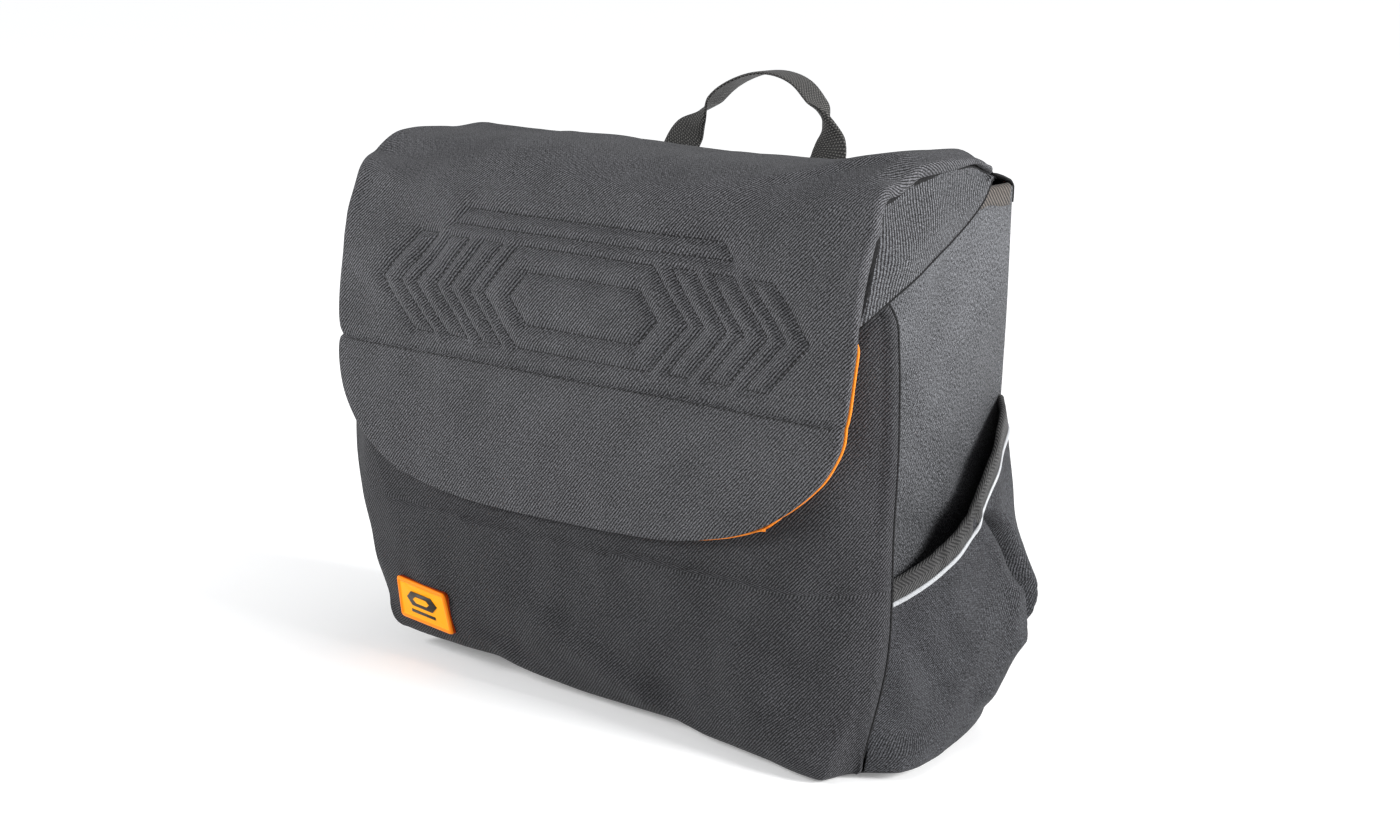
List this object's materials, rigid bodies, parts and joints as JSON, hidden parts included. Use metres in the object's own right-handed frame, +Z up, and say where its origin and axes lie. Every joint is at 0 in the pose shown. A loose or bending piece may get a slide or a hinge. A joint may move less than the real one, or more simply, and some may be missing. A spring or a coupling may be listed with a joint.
{
  "type": "flap pannier bag",
  "caption": "Soft rear-carrier bag with a padded wrap-over flap in two folding sections, side pockets with reflective piping, a webbing handle and clip-on rail hooks.",
  "frame": {"origin": "middle of the flat base the bag stands on, at the underside of the bottom panel", "axes": "+Z up; -Y is the front with the flap; +Y is the stiffened back with the carrier hooks; +X is the wearer's right when looking at the front"},
  "size_m": [0.4408, 0.1955, 0.387],
  "materials": {
    "body_fabric": "heathered charcoal polyester twill, matt",
    "back_fabric": "plain black coated polyester, matt",
    "board": "black polyethylene sheet",
    "orange_lining": "bright orange woven lining",
    "binding_tape": "brown-black grosgrain tape",
    "reflective_tape": "silver-grey reflective piping",
    "label_rubber": "orange moulded rubber with raised border",
    "hook_and_loop": "black hook-and-loop tape",
    "foam": "closed-cell foam",
    "webbing": "black woven webbing",
    "rail_aluminium": "black anodised",
    "screw_steel": "zinc plated",
    "hook_nylon": "glass-filled nylon, fine texture",
    "insert_nylon": "grey nylon"
  },
  "bodies": {
    "bag_body": {"front_panel": "body_fabric", "side_gusset_right": "body_fabric", "side_gusset_left": "body_fabric", "back_panel": "back_fabric", "bottom_panel": "back_fabric", "base_board": "board", "back_stiffener_board": "board", "inner_lining": "orange_lining", "rim_binding": "binding_tape", "back_top_binding": "binding_tape", "label_patch": "label_rubber", "closure_loop_pad_left": "hook_and_loop", "closure_loop_pad_right": "hook_and_loop", "handle_end_left": "webbing", "handle_end_right": "webbing", "upper_rail": "rail_aluminium", "lower_rail": "rail_aluminium", "upper_backing_plate": "rail_aluminium", "lower_backing_plate": "rail_aluminium", "upper_rail_screw_1": "screw_steel", "upper_rail_screw_2": "screw_steel", "upper_rail_screw_3": "screw_steel", "upper_rail_screw_4": "screw_steel", "lower_rail_screw_1": "screw_steel", "lower_rail_screw_2": "screw_steel"},
    "flap_upper": {"flap_upper_panel": "body_fabric", "flap_upper_padding": "foam", "flap_upper_lining": "orange_lining", "flap_wing_right": "body_fabric", "flap_wing_left": "body_fabric"},
    "flap_lower": {"flap_lower_panel": "body_fabric", "flap_lower_padding": "foam", "flap_lower_lining": "orange_lining", "closure_hook_pad_left": "hook_and_loop", "closure_hook_pad_right": "hook_and_loop"},
    "handle": {"handle_loop": "webbing"},
    "pocket_right": {"pocket_right_panel": "body_fabric", "pocket_right_reflective_piping": "reflective_tape", "pocket_right_binding": "binding_tape"},
    "pocket_left": {"pocket_left_panel": "body_fabric", "pocket_left_reflective_piping": "reflective_tape", "pocket_left_binding": "binding_tape"},
    "anchor_carriage": {"anchor_slider": "hook_nylon", "anchor_pivot_screw": "screw_steel"},
    "anchor_hook": {"anchor_arm": "hook_nylon"},
    "hook_left": {"hook_left_body": "hook_nylon", "hook_left_clamp_jaw": "hook_nylon", "hook_left_clamp_screw": "screw_steel", "hook_left_tube_insert": "insert_nylon", "latch_left_pin": "screw_steel", "latch_left_spring": "screw_steel"},
    "latch_left": {"latch_left_lever": "hook_nylon"},
    "hook_right": {"hook_right_body": "hook_nylon", "hook_right_clamp_jaw": "hook_nylon", "hook_right_clamp_screw": "screw_steel", "hook_right_tube_insert": "insert_nylon", "latch_right_pin": "screw_steel", "latch_right_spring": "screw_steel"},
    "latch_right": {"latch_right_lever": "hook_nylon"}
  },
  "joints": [
    {"name": "flap_open", "type": "hinge", "parent": "bag_body", "child": "flap_upper", "pos_m": [0, 0.068, 0.336], "axis": [-1, 0, 0], "range_deg": [0, 76]},
    {"name": "flap_front_lift", "type": "hinge", "parent": "flap_upper", "child": "flap_lower", "pos_m": [0, -0.084, 0.208], "axis": [-1, 0, 0], "range_deg": [0, 150]},
    {"name": "handle_fold", "type": "hinge", "parent": "bag_body", "child": "handle", "pos_m": [0, 0.0727, 0.331], "axis": [-1, 0, 0], "range_deg": [0, 90], "stiffness_Nm_per_rad": 0.05},
    {"name": "pocket_right_open", "type": "hinge", "parent": "bag_body", "child": "pocket_right", "pos_m": [0.1785, 0, 0.006], "axis": [0, 1, 0], "range_deg": [0, 12], "stiffness_Nm_per_rad": 0.6},
    {"name": "pocket_left_open", "type": "hinge", "parent": "bag_body", "child": "pocket_left", "pos_m": [-0.1785, 0, 0.006], "axis": [0, -1, 0], "range_deg": [0, 12], "stiffness_Nm_per_rad": 0.6},
    {"name": "hook_left_slide", "type": "slide", "parent": "bag_body", "child": "hook_left", "axis": [1, 0, 0], "range_m": [-0.04, 0.018]},
    {"name": "hook_right_slide", "type": "slide", "parent": "bag_body", "child": "hook_right", "axis": [1, 0, 0], "range_m": [-0.018, 0.04]},
    {"name": "latch_left_open", "type": "hinge", "parent": "hook_left", "child": "latch_left", "pos_m": [-0.105, 0.082, 0.275], "axis": [-1, 0, 0], "range_deg": [0, 50], "stiffness_Nm_per_rad": 0.03, "springref_deg": -20.05},
    {"name": "latch_right_open", "type": "hinge", "parent": "hook_right", "child": "latch_right", "pos_m": [0.105, 0.082, 0.275], "axis": [-1, 0, 0], "range_deg": [0, 50], "stiffness_Nm_per_rad": 0.03, "springref_deg": -20.05},
    {"name": "anchor_slide", "type": "slide", "parent": "bag_body", "child": "anchor_carriage", "axis": [1, 0, 0], "range_m": [-0.08, 0.08]},
    {"name": "anchor_swivel", "type": "hinge", "parent": "anchor_carriage", "child": "anchor_hook", "pos_m": [0, 0.0874, 0.07], "axis": [0, 1, 0], "range_deg": [-60, 60]}
  ]
}
